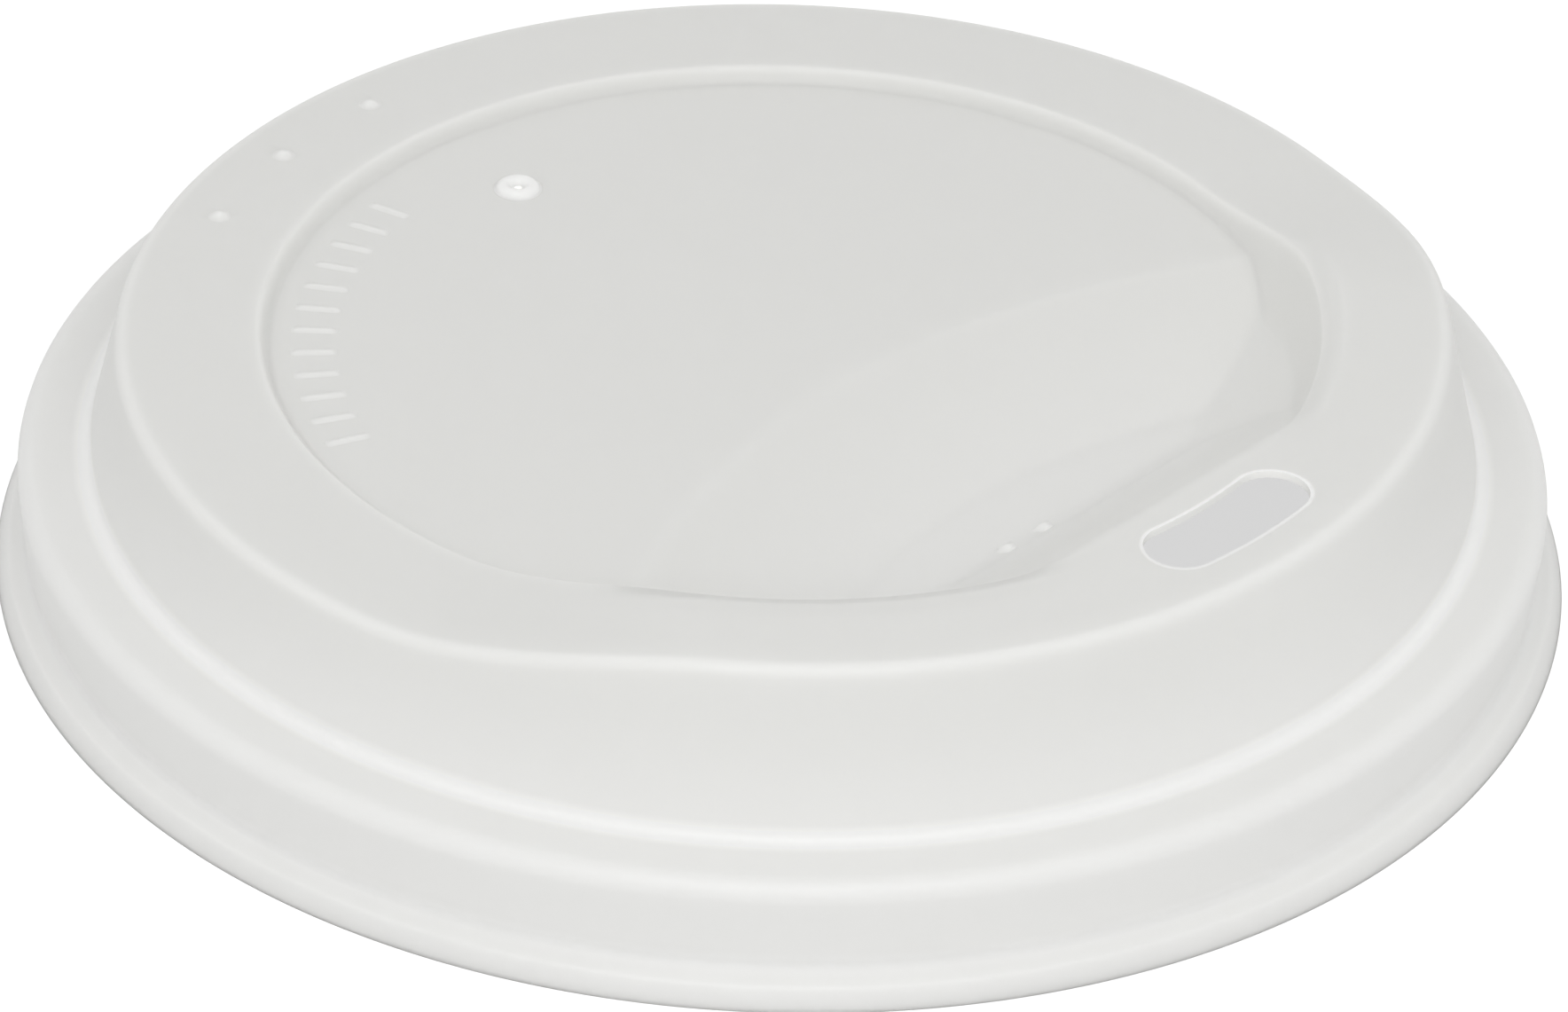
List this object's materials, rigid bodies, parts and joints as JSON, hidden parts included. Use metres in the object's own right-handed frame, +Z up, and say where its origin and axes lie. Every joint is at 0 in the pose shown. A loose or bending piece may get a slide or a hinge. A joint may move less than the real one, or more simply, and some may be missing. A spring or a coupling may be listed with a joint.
{
  "type": "dome lid",
  "caption": "Round sip-through dome lid for a hot drink cup: skirt that clips over the rim, tapered dome, recessed top with a lip trough, a sip slot and a vent.",
  "frame": {"origin": "centre of the round foot, on the plane the lid stands on", "axes": "+Z up through the dome, +X towards the drinking side with the sip slot, +Y to the left of a drinker's view from -X"},
  "size_m": [0.094, 0.094, 0.0174],
  "materials": {
    "milky_plastic": "satin, milky and slightly translucent"
  },
  "bodies": {
    "root": {"dome_lid": "milky_plastic"}
  },
  "joints": []
}
